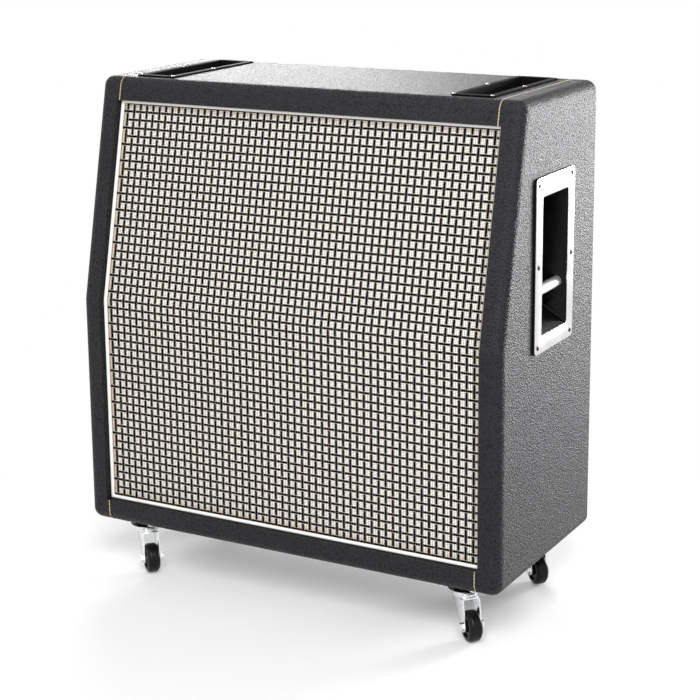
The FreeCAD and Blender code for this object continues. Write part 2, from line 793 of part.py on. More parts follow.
def basket(name):
    """Pressed frame: rolled flange, sloping wall with windows, flat back with a terminal block."""
    piece = turned(name, [
        (EDGE_OUTER, "0"),
        ("basket_radius", "0"),
        ("basket_radius", "basket_rim"),
        ("basket_radius - basket_sheet", "basket_rim"),
        ("basket_radius - basket_sheet", "basket_sheet"),
        (f"{EDGE_OUTER} + basket_sheet", "basket_sheet"),
        (f"{EDGE_OUTER} + basket_sheet", "basket_rim"),
        ("basket_back_radius", "basket_depth"),
        ("basket_throat_radius", "basket_depth"),
        ("basket_throat_radius", "basket_depth - basket_sheet"),
        ("spider_radius - edge_wave", "basket_depth - basket_sheet"),
        ("spider_radius - edge_wave", SPIDER_SEAT),
        ("spider_radius", SPIDER_SEAT),
        ("spider_radius + basket_sheet", "basket_depth - basket_sheet"),
        ("basket_back_radius - basket_sheet", "basket_depth - basket_sheet"),
        (EDGE_OUTER, "basket_rim"),
    ])
    window = sketch(piece, "XY_Plane")
    half_angle = "(basket_window_angle * 1 deg / 2)"
    polygon(window, [
        (f"basket_window_inner * cos({half_angle})", f"-basket_window_inner * sin({half_angle})"),
        (f"basket_window_outer * cos({half_angle})", f"-basket_window_outer * sin({half_angle})"),
        (f"basket_window_outer * cos({half_angle})", f"basket_window_outer * sin({half_angle})"),
        (f"basket_window_inner * cos({half_angle})", f"basket_window_inner * sin({half_angle})"),
    ])
    opening = pocket(piece, window, "basket_depth", backwards=True)
    windows = piece.newObject("PartDesign::PolarPattern", f"{name}_windows")
    windows.Originals = [opening]
    windows.Axis = (window, ["N_Axis"])
    windows.Angle = FULL_TURN
    bind(windows, Occurrences="basket_windows")
    piece.Tip = windows
    terminal = sketch(piece, "XY_Plane", "basket_depth")
    reach = "(magnet_radius + basket_back_radius) / 2"
    rectangle(terminal, ("-terminal_width / 2", f"{reach} - terminal_length / 2"),
              ("terminal_width / 2", f"{reach} + terminal_length / 2"))
    pad(piece, terminal, "terminal_height")
    return piece


def magnet(name):
    """Front plate, ring and back plate round a pole, with the gap that the coil runs in."""
    return turned(name, [
        ("0", "basket_depth"),
        ("pole_radius", "basket_depth"),
        ("pole_radius", "basket_depth + magnet_length - magnet_plate"),
        ("gap_radius", "basket_depth + magnet_length - magnet_plate"),
        ("gap_radius", "basket_depth"),
        ("magnet_plate_radius", "basket_depth"),
        ("magnet_plate_radius", "basket_depth + magnet_plate"),
        ("magnet_radius", "basket_depth + magnet_plate"),
        ("magnet_radius", "basket_depth + magnet_length - magnet_plate"),
        ("magnet_plate_radius", "basket_depth + magnet_length - magnet_plate"),
        ("magnet_plate_radius", "basket_depth + magnet_length"),
        ("0", "basket_depth + magnet_length"),
    ])


def cone(name):
    """Paper cone with its dust cap and the coil former that hangs in the magnet."""
    def front(radius):
        drop = f"({radius} - coil_radius) / (cone_radius - coil_radius)"
        return f"(cone_neck_depth - (cone_neck_depth - cone_lift) * {drop})"

    cap_top = f"({front('cap_radius')} - cap_height)"
    cap_shoulder = f"({cap_top} + cap_height * {CAP_SHOULDER_SHARE})"
    cap_foot = "(cap_radius - 2 * cone_paper)"
    return turned(name, [
        ("0", cap_top),
        ("cap_radius / 2", cap_shoulder),
        ("cap_radius", front("cap_radius")),
        ("cone_radius", "cone_lift"),
        ("cone_radius", "cone_lift + cone_paper"),
        (COIL_OUTER, CONE_BACK),
        (COIL_OUTER, "basket_depth + coil_depth"),
        ("coil_radius", "basket_depth + coil_depth"),
        ("coil_radius", "cone_neck_depth"),
        (cap_foot, front(cap_foot)),
        ("cap_radius / 2", f"{cap_shoulder} + cone_paper"),
        ("0", f"{cap_top} + cone_paper"),
    ])


def suspension(name):
    """Corrugated edge round the cone and the spider that centres the coil."""
    middle = f"(({EDGE_INNER} + {EDGE_OUTER}) / 2)"
    edge = turned(f"{name}_edge", [
        (EDGE_INNER, "cone_lift"),
        (middle, "cone_lift - edge_wave"),
        (f"{EDGE_OUTER} - suspension_clearance", "cone_lift"),
        (f"{EDGE_OUTER} - suspension_clearance", "cone_lift + edge_sheet"),
        (middle, "cone_lift - edge_wave + edge_sheet"),
        (EDGE_INNER, "cone_lift + edge_sheet"),
    ])
    ring = f"(({COIL_OUTER} + spider_radius) / 2)"
    spider = turned(f"{name}_spider", [
        (f"{COIL_OUTER} + suspension_clearance", SPIDER_DEPTH),
        (ring, f"{SPIDER_DEPTH} + edge_wave"),
        ("spider_radius - edge_wave", SPIDER_DEPTH),
        ("spider_radius", SPIDER_DEPTH),
        ("spider_radius", SPIDER_SEAT),
        ("spider_radius - edge_wave", SPIDER_SEAT),
        (ring, f"{SPIDER_DEPTH} + edge_wave + edge_sheet"),
        (f"{COIL_OUTER} + suspension_clearance", SPIDER_SEAT),
    ])
    return group(name, [edge, spider])


magnets = []
bolts = []
for place_name, (side, behind, turn) in SPEAKERS.items():
    middle = speaker_middle(side)
    seat = behind(middle, "0", "0")
    node(place(basket(f"speaker_basket_{place_name}"), seat, X_AXIS, turn),
         f"speaker_basket_{place_name}")
    node(place(cone(f"speaker_cone_{place_name}"), seat, X_AXIS, turn), f"speaker_cone_{place_name}")
    node(place(suspension(f"speaker_suspension_{place_name}"), seat, X_AXIS, turn),
         f"speaker_suspension_{place_name}")
    magnets.append(place(magnet(f"magnet_{place_name}"), seat, X_AXIS, turn))
    for number in range(SIZES["bolts_each"]):
        bolt_angle = f"(360 deg * ({number} + 1 / 2) / bolts_each)"
        spot = behind(f"{middle} + {BOLT_CIRCLE} * cos({bolt_angle})",
                      f"{BOLT_CIRCLE} * sin({bolt_angle})", "basket_sheet")
        bolts.append(hexagon("speaker_bolt", spot, "bolt_radius", "bolt_head", X_AXIS, turn))
node(group("speaker_magnets", magnets), "speaker_magnets")
node(group("speaker_bolts", bolts), "speaker_bolts")


# Piping bead round the cloth: one round tube with mitred corners

def piping():
    depth = "(recess - piping_diameter / 2 - piping_clearance)"
    inset = "(piping_diameter / 2 + piping_clearance)"
    half = f"({OPEN_HALF} - {inset})"
    low = f"({OPEN_LOW} + {inset})"
    high = f"({OPEN_HIGH} - {inset})"
    corners = [("0", front_low(depth), low)]
    for side, steps in ((1, 1), (-1, -1)):
        column = [
            (f"{side} * {half}", front_low(depth), low),
            (f"{side} * {half}", front_low(depth), front_kink(depth)),
            (f"{side} * {half}", front_high(depth, high), high),
        ]
        corners += column[::steps]
    corners.append(corners[0])
    path = Part.makePolygon([point(corner) for corner in corners])
    section = Part.Wire(Part.makeCircle(value("piping_diameter / 2"), point(corners[0]), X_AXIS))
    shell = Part.BRepOffsetAPI.MakePipeShell(path)
    shell.setTransitionMode(1)
    shell.add(section)
    shell.build()
    shell.makeSolid()
    piece = doc.addObject("Part::Feature", "grille_piping")
    piece.Shape = shell.shape()
    return piece


node(piping(), "grille_piping")


# Wiring: a flat twin cable from the back of the socket to each terminal block

def cable(name, corners):
    """A flat cable along straight runs with a round bend at each inner corner."""
    bend = value("cable_bend")
    edges = []
    start = corners[0]
    for before, corner, after in zip(corners, corners[1:], corners[2:]):
        incoming = (corner - before).normalize()
        outgoing = (after - corner).normalize()
        turn = incoming.getAngle(outgoing)
        reach = bend * math.tan(turn / 2)
        first = corner - incoming * reach
        last = corner + outgoing * reach
        inward = (outgoing - incoming).normalize()
        middle = corner + inward * (bend / math.cos(turn / 2) - bend)
        edges.append(Part.LineSegment(start, first).toShape())
        edges.append(Part.Arc(first, middle, last).toShape())
        start = last
    edges.append(Part.LineSegment(start, corners[-1]).toShape())
    across = value("cable_width / 2")
    up = value("cable_thickness / 2")
    ring = [FreeCAD.Vector(x, 0, z) for x, z in ((-across, -up), (across, -up), (across, up), (-across, up))]
    section = Part.makePolygon([corners[0] + spot for spot in ring + ring[:1]])
    shell = Part.BRepOffsetAPI.MakePipeShell(Part.Wire(edges))
    shell.add(section)
    shell.build()
    shell.makeSolid()
    piece = doc.addObject("Part::Feature", name)
    piece.Shape = shell.shape()
    return piece


SOCKET_END = f"({REAR_PANEL_BACK} + {SOCKET_BACK} - dish_wall)"
TERMINAL_REACH = "((magnet_radius + basket_back_radius) / 2)"
TERMINAL_BACK = "(basket_depth + terminal_height)"
cables = []
for place_name, (side, behind, turn) in SPEAKERS.items():
    step = 1 if behind is behind_high else -1
    across = f"({side} * (cable_width / 2 + cable_spread))"
    height = f"({JACK_Z} + {step} * (cable_thickness / 2 + cable_spread))"
    middle = speaker_middle(side)
    cables.append(cable(f"cable_{place_name}", [
        point((across, SOCKET_END, height)),
        point((across, f"{SOCKET_END} - cable_lead", height)),
        point(behind(middle, TERMINAL_REACH, f"{TERMINAL_BACK} + cable_lead")),
        point(behind(middle, TERMINAL_REACH, TERMINAL_BACK)),
    ]))
node(group("wiring", cables), "wiring")


# Side handles, each drawn with +X out of the cabinet's side

CUP_LOW = "(-cup_drop - cup_length / 2)"
CUP_HIGH = "(-cup_drop + cup_length / 2)"


def upright(edge):
    """An edge that runs only along X, through the thickness of a plate."""
    return edge.BoundBox.YLength < SLACK and edge.BoundBox.ZLength < SLACK


def handle_outline(drawing):
    rectangle(drawing, ("-handle_width / 2", "-handle_length / 2"),
              ("handle_width / 2", "handle_length / 2"))


def cup_outline(drawing, grow, rise="0", fall="0"):
    rectangle(drawing, (f"-cup_width / 2 - ({grow})", f"{CUP_LOW} + {rise} - ({grow})"),
              (f"cup_width / 2 + {grow}", f"{CUP_HIGH} - {fall} + {grow}"))


def loft(owner, kind, first, last):
    feature = owner.newObject(f"PartDesign::{kind}Loft", f"{owner.Name}_{kind}")
    feature.Profile = first
    feature.Sections = [last]
    feature.Ruled = True
    return feature


def handle_cup(name):
    """Moulded cup: a flange, a tub whose floor climbs inwards, and its hollow."""
    piece = body(name)
    flange = sketch(piece, "YZ_Plane")
    handle_outline(flange)
    pad(piece, flange, "cup_flange")
    round_edges(piece, "handle_corner", upright)
    outer_mouth = sketch(piece, "YZ_Plane")
    cup_outline(outer_mouth, "cup_wall")
    outer_end = sketch(piece, "YZ_Plane", "-cup_depth - cup_wall")
    cup_outline(outer_end, "cup_wall", "cup_floor_rise", "cup_roof_fall")
    loft(piece, "Additive", outer_mouth, outer_end)
    inner_mouth = sketch(piece, "YZ_Plane", "cup_flange")
    cup_outline(inner_mouth, "0")
    inner_end = sketch(piece, "YZ_Plane", "-cup_depth")
    cup_outline(inner_end, "0", "cup_floor_rise", "cup_roof_fall")
    loft(piece, "Subtractive", inner_mouth, inner_end)
    return piece


def handle_plate(name):
    """Bright plate over the cup's flange."""
    piece = body(name)
    outline = sketch(piece, "YZ_Plane", "cup_flange")
    handle_outline(outline)
    cup_outline(outline, "0")
    pad(piece, outline, "handle_plate")
    reach = value("cup_width / 2 + cup_wall")

    def outer(edge):
        return upright(edge) and abs(edge.CenterOfMass.y) > reach

    def inner(edge):
        return upright(edge) and abs(edge.CenterOfMass.y) < reach

    round_edges(piece, "handle_corner", outer)
    round_edges(piece, "cup_corner", inner)
    return piece


handle_screws = []
for side_name, side in (("left", -1), ("right", 1)):
    spot = (f"{side} * {HALF}", HANDLE_Y, HANDLE_Z)
    facing = f"(1 - {side}) * 90 deg"
    for label, make in (("handle_cup", handle_cup), ("handle_plate", handle_plate)):
        node(place(make(f"{label}_{side_name}"), spot, Z_AXIS, facing), f"{label}_{side_name}")
    plate_face = f"({HALF} + cup_flange + handle_plate)"
    grip_spot = (f"{side} * ({plate_face} - grip_setback)", f"{HANDLE_Y} - cup_width / 2",
                 f"{CUP_Z} - grip_below_centre")
    node(cylinder(f"grip_bar_{side_name}", grip_spot, "grip_radius", "cup_width", X_AXIS, LOW_TURN),
         f"grip_bar_{side_name}")
    for along in (-1, 1):
        for up in (-1, 0, 1):
            handle_screws.append(cylinder(
                "handle_screw",
                (f"{side} * {plate_face}",
                 f"{HANDLE_Y} + {along} * (handle_width / 2 - handle_screw_inset)",
                 f"{HANDLE_Z} + {up} * (handle_length / 2 - handle_screw_inset)"),
                "handle_screw_radius", "screw_head", Y_AXIS, f"{side} * 90 deg"))
node(group("handle_screws", handle_screws), "handle_screws")


# Top trays

def tray_outline(drawing, inset):
    rectangle(drawing, (f"-tray_width / 2 + {inset}", f"-tray_length / 2 + {inset}"),
              (f"tray_width / 2 - ({inset})", f"tray_length / 2 - ({inset})"))


def tray(name):
    """Moulded tray: a rim that lies on the top and a shallow tub let into it."""
    piece = body(name)
    rim = sketch(piece, "XY_Plane")
    tray_outline(rim, "0")
    pad(piece, rim, "tray_rim")

    def corner(edge):
        return edge.BoundBox.XLength < SLACK and edge.BoundBox.YLength < SLACK

    round_edges(piece, "tray_corner", corner)
    tub = sketch(piece, "XY_Plane")
    tray_outline(tub, "tray_flange")
    pad(piece, tub, "tray_depth", backwards=True)
    hollow = sketch(piece, "XY_Plane", "tray_rim")
    tray_outline(hollow, "tray_flange + tray_wall")
    pocket(piece, hollow, "tray_rim + tray_depth - tray_wall")
    return piece


tray_screws = []
for side_name, side in (("left", -1), ("right", 1)):
    middle = f"({side} * tray_spacing / 2)"
    node(place(tray(f"tray_{side_name}"), (middle, TRAY_Y, TOP)), f"tray_{side_name}")
    for across in (-1, 1):
        for along in (-1, 0, 1):
            tray_screws.append(cylinder(
                "tray_screw",
                (f"{middle} + {across} * (tray_width / 2 - tray_screw_inset)",
                 f"{TRAY_Y} + {along} * (tray_length / 2 - tray_screw_inset)",
                 f"{TOP} + tray_rim"),
                "tray_screw_radius", "screw_head"))
node(group("tray_screws", tray_screws), "tray_screws")

# Castors, each drawn about its swivel axis with the wheel trailing along +X

PLATE_LOW = "(castor_height - castor_plate_thickness)"
RACE_LOW = f"({PLATE_LOW} - race_height)"
BOWL_FLOOR = f"({RACE_LOW} - swivel_gap)"
CROWN_LOW = f"({BOWL_FLOOR} - bowl_sheet)"
WEB_LOW = f"({CROWN_LOW} - fork_sheet)"
HEAD_TOP = f"({CROWN_LOW} - swivel_gap)"
WHEEL_SPACE = "(wheel_width + 2 * wheel_side_gap)"
FORK_WIDTH = "(wheel_width + 2 * wheel_side_gap + 2 * fork_sheet)"
AXLE_LENGTH = f"({FORK_WIDTH} + 2 * axle_nut)"
YAW = "(-castor_yaw * 1 deg)"


def castor_top(name, x, y):
    """Plate, race and kingpin, which stay with the cabinet."""
    half = "castor_plate / 2"
    head_low = f"{HEAD_TOP} - kingpin_head"
    return fuse(
        name,
        block(f"{name}_plate", (f"{x} - {half}", f"{y} - {half}", PLATE_LOW),
              (f"{x} + {half}", f"{y} + {half}", "castor_height")),
        cylinder(f"{name}_race", (x, y, RACE_LOW), "race_radius", "race_height"),
        cylinder(f"{name}_pin", (x, y, head_low), "kingpin_radius", f"{RACE_LOW} - ({head_low})"),
        cylinder(f"{name}_head", (x, y, head_low), "kingpin_head_radius", "kingpin_head"),
    )


def castor_fork(name):
    """Pressed fork: two tapered legs under a web, and the bowl that turns round the race."""
    piece = body(name)
    legs = sketch(piece, "XZ_Plane")
    polygon(legs, [
        ("-fork_heel", CROWN_LOW),
        ("fork_toe", CROWN_LOW),
        ("castor_trail + fork_eye_radius", "wheel_radius"),
        ("castor_trail - fork_eye_radius", "wheel_radius"),
    ])
    pad(piece, legs, FORK_WIDTH, both_ways=True)
    eyes = sketch(piece, "XZ_Plane")
    circle(eyes, ("castor_trail", "wheel_radius"), "fork_eye_radius")
    pad(piece, eyes, FORK_WIDTH, both_ways=True)
    crown = value(CROWN_LOW)

    def shoulder(edge):
        box = edge.BoundBox
        return box.ZMin > crown - SLACK and box.YLength < SLACK

    round_edges(piece, "fork_bend", shoulder)
    space = sketch(piece, "YZ_Plane")
    rectangle(space, (f"-{WHEEL_SPACE} / 2", "-overrun"), (f"{WHEEL_SPACE} / 2", WEB_LOW))
    pocket(piece, space, "2 * (castor_trail + fork_eye_radius + overrun)", both_ways=True)
    head_room = sketch(piece, "XY_Plane", CROWN_LOW)
    circle(head_room, ("0", "0"), "kingpin_head_radius + wheel_side_gap")
    pocket(piece, head_room, "fork_sheet + overrun")
    eye_holes = sketch(piece, "XZ_Plane")
    circle(eye_holes, ("castor_trail", "wheel_radius"), "axle_radius")
    pocket(piece, eye_holes, f"{FORK_WIDTH} + 2 * overrun", both_ways=True)
    bowl = sketch(piece, "XZ_Plane")
    polygon(bowl, [
        ("kingpin_radius + running_fit", CROWN_LOW),
        ("bowl_floor_radius", CROWN_LOW),
        ("bowl_floor_radius", f"{CROWN_LOW} + bowl_neck"),
        ("bowl_radius", f"{CROWN_LOW} + bowl_height"),
        ("bowl_radius - bowl_sheet", f"{CROWN_LOW} + bowl_height"),
        ("bowl_floor_radius - bowl_sheet / 2", BOWL_FLOOR),
        ("kingpin_radius + running_fit", BOWL_FLOOR),
    ])
    revolve(piece, bowl)
    return piece


def castor_wheel(name):
    """Rubber wheel turned about Y, with a round tread and dished sides round its hub."""
    piece = body(name)
    side = "wheel_width / 2"
    half = [
        ("hub_radius", side),
        ("hub_radius", f"{side} - wheel_dish"),
        ("wheel_rim_radius", f"{side} - wheel_dish"),
        ("wheel_rim_radius", side),
        ("wheel_radius", side),
    ]
    bore = "axle_radius + running_fit"
    profile = sketch(piece, "XY_Plane")
    other_half = [(radius, f"-({along})") for radius, along in reversed(half)]
    polygon(profile, [(bore, side)] + half + other_half + [(bore, f"-{side}")])
    revolve(piece, profile)
    tread = value("wheel_radius")
    round_edges(piece, "wheel_shoulder", lambda edge: edge.BoundBox.XMax > tread - SLACK)
    return piece


def castor_axle(name):
    """Axle bolt along Y with a hexagon at each end."""
    end = f"{AXLE_LENGTH} / 2"
    return fuse(
        name,
        cylinder(f"{name}_rod", ("0", f"-{end}", "0"), "axle_radius", AXLE_LENGTH, X_AXIS, LOW_TURN),
        hexagon(f"{name}_head", ("0", f"-{end}", "0"), "axle_nut_radius", "axle_nut", X_AXIS, LOW_TURN),
        hexagon(f"{name}_nut", ("0", f"{end} - axle_nut", "0"), "axle_nut_radius", "axle_nut",
                X_AXIS, LOW_TURN),
    )


castor_tops = []
castor_screws = []
for corner, across, along in (("front_left", -1, -1), ("front_right", 1, -1),
                              ("rear_left", -1, 1), ("rear_right", 1, 1)):
    x = f"({across} * castor_spacing / 2)"
    y = f"({along} * (cabinet_depth / 2 - castor_from_end))"
    axle_spot = (f"{x} + castor_trail * cos({YAW})", f"{y} + castor_trail * sin({YAW})", "wheel_radius")
    castor_tops.append(castor_top(f"castor_top_{corner}", x, y))
    node(place(castor_fork(f"castor_fork_{corner}"), (x, y, "0"), Z_AXIS, YAW), f"castor_fork_{corner}")
    node(place(castor_axle(f"castor_axle_{corner}"), axle_spot, Z_AXIS, YAW), f"castor_axle_{corner}")
    node(place(castor_wheel(f"castor_wheel_{corner}"), axle_spot, Z_AXIS, YAW), f"castor_wheel_{corner}")
    for right in (-1, 1):
        for back in (-1, 1):
            castor_screws.append(hexagon(
                "castor_screw",
                (f"{x} + {right} * castor_screw_pitch / 2", f"{y} + {back} * castor_screw_pitch / 2",
                 f"{PLATE_LOW} - castor_screw_head"),
                "castor_screw_radius", "castor_screw_head"))
node(group("castor_plates", castor_tops), "castor_plates")
node(group("castor_screws", castor_screws), "castor_screws")


# Write the sub-parts once every one of them is sound

doc.recompute()
failed = [item.Name for item in doc.Objects if {"Invalid", "Error"} & set(item.State)]
if failed:
    raise RuntimeError(f"failed objects: {failed}")
for piece in nodes:
    if piece.Shape.isNull() or not piece.Shape.isValid() or not piece.Shape.Solids:
        raise RuntimeError(f"unsound sub-part: {piece.Label}")
os.makedirs("parts", exist_ok=True)
for piece in nodes:
    piece.Shape.exportStep(f"parts/{piece.Label}.step")
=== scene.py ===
import json
import math

import bmesh
import bpy
from mathutils import Matrix, Quaternion, Vector

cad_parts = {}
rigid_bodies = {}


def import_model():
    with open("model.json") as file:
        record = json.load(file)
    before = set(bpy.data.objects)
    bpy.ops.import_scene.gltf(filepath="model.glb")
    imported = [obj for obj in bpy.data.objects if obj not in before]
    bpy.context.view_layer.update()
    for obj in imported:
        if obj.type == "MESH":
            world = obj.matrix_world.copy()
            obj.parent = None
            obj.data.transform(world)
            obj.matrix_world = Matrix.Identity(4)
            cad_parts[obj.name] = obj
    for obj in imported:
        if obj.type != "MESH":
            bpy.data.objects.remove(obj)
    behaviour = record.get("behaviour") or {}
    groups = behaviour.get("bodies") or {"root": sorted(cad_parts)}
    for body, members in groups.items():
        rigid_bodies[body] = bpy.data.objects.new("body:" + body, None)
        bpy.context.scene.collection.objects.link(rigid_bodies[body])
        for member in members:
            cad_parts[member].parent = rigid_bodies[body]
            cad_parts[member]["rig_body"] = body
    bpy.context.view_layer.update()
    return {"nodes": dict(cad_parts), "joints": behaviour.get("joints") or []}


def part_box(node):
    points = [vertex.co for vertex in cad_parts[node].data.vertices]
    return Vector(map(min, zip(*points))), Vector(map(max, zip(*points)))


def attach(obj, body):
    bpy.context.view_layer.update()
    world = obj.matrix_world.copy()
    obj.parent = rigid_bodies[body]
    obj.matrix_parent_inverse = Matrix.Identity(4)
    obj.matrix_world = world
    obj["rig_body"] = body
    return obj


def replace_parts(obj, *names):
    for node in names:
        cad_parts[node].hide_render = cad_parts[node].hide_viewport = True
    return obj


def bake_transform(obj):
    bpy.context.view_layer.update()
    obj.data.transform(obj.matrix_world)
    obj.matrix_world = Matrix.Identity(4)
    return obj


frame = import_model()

# The looks of an angled guitar speaker cabinet: embossed vinyl over plywood, a woven grille
# inside white piping, plated handles, moulded trays and swivel castors.
# Metres, +Z up, front towards -Y.

MM = 0.001
SLACK = 0.01 * MM
SAME_RING = 0.2 * MM  # vertices this close in radius lie on one ring of a loudspeaker's edge
COLOUR_RESULT = 2  # place of the colour among the outputs of a mix node
nodes = frame["nodes"]
SIDES = ("left", "right")
CASTORS = ("front_left", "front_right", "rear_left", "rear_right")
SPEAKERS = ("upper_left", "upper_right", "lower_left", "lower_right")

# The grille's weave: a check reaches from one black cord to the next
CHECK_ACROSS = 12.66 * MM
CHECK_UP = 13.75 * MM
THREADS_ACROSS = 4
THREADS_UP = 6
FIRST_CORD_ACROSS = 11.4 * MM
FIRST_CORD_DOWN = 20 * MM
ACROSS_CORD = 3.5 * MM
UP_CORD = 4.3 * MM
CORD_GAP_ACROSS = 0.4 * MM
CORD_GAP_UP = 0.85 * MM
SHEET_SETBACK = 0.6 * MM
SHEET_THICKNESS = 0.8 * MM
# Width of the tan rim of painted shade along the cloth's edges
PAINTED_SHADE_RIM = 16 * MM

# Screw heads: shares of their height and radius
SCREW_CROWN = 0.6
SCREW_RECESS = 0.5
CROSS_REACH = 0.5
CROSS_HALF_WIDTH = 0.1

# The floor keeps the shadow near the cabinet, and is plain white further out
FLOOR_RADIUS = 60
SHADOW_REACH = 0.42
WHITE_FROM = 0.84
WHITE_UNDERNEATH = 0.15


# Tools for materials

def srgb(code):
    """Linear colour from an sRGB hex code."""
    channels = [int(code[start:start + 2], 16) / 255 for start in (1, 3, 5)]
    return [c / 12.92 if c <= 0.04045 else ((c + 0.055) / 1.055) ** 2.4 for c in channels] + [1.0]


def add(owner, kind, inputs=None, **settings):
    """Add a node with its settings. Each input takes a value or another node's output."""
    node = owner.node_tree.nodes.new(kind)
    for name, setting in settings.items():
        setattr(node, name, setting)
    for name, source in (inputs or {}).items():
        socket = next(s for s in node.inputs if name in (s.identifier, s.name))
        if isinstance(source, bpy.types.NodeSocket):
            owner.node_tree.links.new(source, socket)
        else:
            socket.default_value = source
    return node


def begin(name):
    """An empty material, and the place on the piece that its pattern reads."""
    material = bpy.data.materials.new(name)
    material.use_nodes = True
    material.node_tree.nodes.clear()
    return material, add(material, "ShaderNodeTexCoord").outputs["Object"]


def coat(material, pattern, colours, roughness, depth, metallic=0.0, **constants):
    """Finish a material whose colour, shine and relief follow one pattern of 0 to 1."""
    colour = add(material, "ShaderNodeMix", {
        "Factor_Float": pattern,
        "A_Color": srgb(colours[0]), "B_Color": srgb(colours[1])}, data_type="RGBA")
    shine = add(material, "ShaderNodeMapRange", {
        "Value": pattern, "To Min": roughness[0], "To Max": roughness[1]})
    relief = add(material, "ShaderNodeBump", {"Height": pattern, "Distance": depth})
    shader = add(material, "ShaderNodeBsdfPrincipled", {
        "Base Color": colour.outputs[COLOUR_RESULT], "Roughness": shine.outputs["Result"],
        "Normal": relief.outputs["Normal"], "Metallic": metallic, **constants})
    add(material, "ShaderNodeOutputMaterial", {"Surface": shader.outputs["BSDF"]})
    return material


# Finishes

def embossed_vinyl():
    # PVC film embossed with a pebble grain. Its colour is painted black in the creases as painted shade,
    # and lighter on the crowns as a painted highlight.
    # The pebbles are about 1.5 mm across, and are drawn coarser so that they show.
    pebble = 2.6 * MM
    material, spot = begin("embossed_vinyl")
    pebbles = add(material, "ShaderNodeTexVoronoi", {"Vector": spot, "Scale": 1 / pebble})
    crowns = add(material, "ShaderNodeMapRange", {
        "Value": pebbles.outputs["Distance"], "From Min": 0.75, "From Max": 0.15})
    return coat(material, crowns.outputs["Result"], colours=("#040404", "#1d1d20"),
                roughness=(0.66, 0.34), depth=0.65 * MM,
                **{"Specular IOR Level": 0.34, "Specular Tint": srgb("#f8f8ff")})


def cream_weave():
    # Paper-and-cotton threads in a plain weave: cream crowns, a dark pin hole between each four threads,
    # and a tan rim of painted shade where the piping and border shade the cloth.
    material, _ = begin("cream_weave")
    checks = add(material, "ShaderNodeUVMap", uv_map="checks").outputs["UV"]
    threads = add(material, "ShaderNodeVectorMath", {
        "Vector": checks, "Vector_001": (THREADS_ACROSS, THREADS_UP, 0)}, operation="MULTIPLY")
    threads = threads.outputs["Vector"]
    turns = add(material, "ShaderNodeVectorMath", {
        "Vector": threads, "Vector_001": [math.pi] * 3}, operation="MULTIPLY")
    waves = add(material, "ShaderNodeVectorMath", {"Vector": turns.outputs["Vector"]}, operation="SINE")
    crowns = add(material, "ShaderNodeVectorMath", {
        "Vector": waves.outputs["Vector"]}, operation="ABSOLUTE")
    crown = add(material, "ShaderNodeSeparateXYZ", {"Vector": crowns.outputs["Vector"]})
    height = add(material, "ShaderNodeMath", {
        "Value": crown.outputs["X"], "Value_001": crown.outputs["Y"]}, operation="MAXIMUM")
    height = height.outputs["Value"]
    holes = add(material, "ShaderNodeMapRange", {
        "Value": height, "From Min": 0.5, "From Max": 1.0}, interpolation_type="SMOOTHSTEP")
    single = add(material, "ShaderNodeVectorMath", {"Vector": threads}, operation="FLOOR")
    chance = add(material, "ShaderNodeTexWhiteNoise", {
        "Vector": single.outputs["Vector"]}, noise_dimensions="2D")
    thread = add(material, "ShaderNodeMix", {
        "Factor_Float": chance.outputs["Value"],
        "A_Color": srgb("#f4ede3"), "B_Color": srgb("#fdf6ee")}, data_type="RGBA")
    woven = add(material, "ShaderNodeMix", {
        "Factor_Float": holes.outputs["Result"],
        "A_Color": srgb("#2c2620"), "B_Color": thread.outputs[COLOUR_RESULT]}, data_type="RGBA")
    # Painted shade: the cloth is tinted tan towards its edges, under the piping and border
    inside = add(material, "ShaderNodeAttribute", attribute_name="inside").outputs["Fac"]
    dust_and_painted_shade = add(material, "ShaderNodeMix", {
        "Factor_Float": inside,
        "A_Color": srgb("#d4bd9a"), "B_Color": srgb("#ffffff")}, data_type="RGBA")
    colour = add(material, "ShaderNodeMix", {
        "Factor_Float": 1.0, "A_Color": woven.outputs[COLOUR_RESULT],
        "B_Color": dust_and_painted_shade.outputs[COLOUR_RESULT]}, data_type="RGBA", blend_type="MULTIPLY")
    relief = add(material, "ShaderNodeBump", {"Height": height, "Distance": 0.4 * MM})
    shader = add(material, "ShaderNodeBsdfPrincipled", {
        "Base Color": colour.outputs[COLOUR_RESULT], "Roughness": 0.75,
        "Normal": relief.outputs["Normal"]})
    add(material, "ShaderNodeOutputMaterial", {"Surface": shader.outputs["BSDF"]})
    return material


def black_cord():
    # Twisted black rayon: deep black, with a slight gloss on the crown of each cord.
    material, spot = begin("black_cord")
    twist = add(material, "ShaderNodeTexNoise", {"Vector": spot, "Scale": 1 / (0.8 * MM), "Detail": 2.0})
    return coat(material, twist.outputs["Fac"], colours=("#020202", "#080707"),
                roughness=(0.8, 0.65), depth=0.12 * MM,
                **{"Specular IOR Level": 0.1})


def white_bead():
    # Extruded soft PVC: even off-white, a little glossy, with a faint drag along its length.
    material, spot = begin("white_bead")
    drag = add(material, "ShaderNodeTexNoise", {"Vector": spot, "Scale": 1 / (25 * MM), "Detail": 3.0})
    return coat(material, drag.outputs["Fac"], colours=("#f4f3ef", "#fcfcfa"),
                roughness=(0.45, 0.32), depth=0.05 * MM)


def gilt_cord():
    # Metallised plastic braid: pale gold, with painted shade darkening the dip at each turn of its lay.
    material, spot = begin("gilt_cord")
    braid = add(material, "ShaderNodeTexWave", {
        "Vector": spot, "Scale": 1 / (9 * MM), "Distortion": 1.5}, bands_direction="DIAGONAL")
    return coat(material, braid.outputs["Fac"], colours=("#8c7c54", "#ddcfa8"),
                roughness=(0.55, 0.4), depth=0.2 * MM, metallic=0.2)


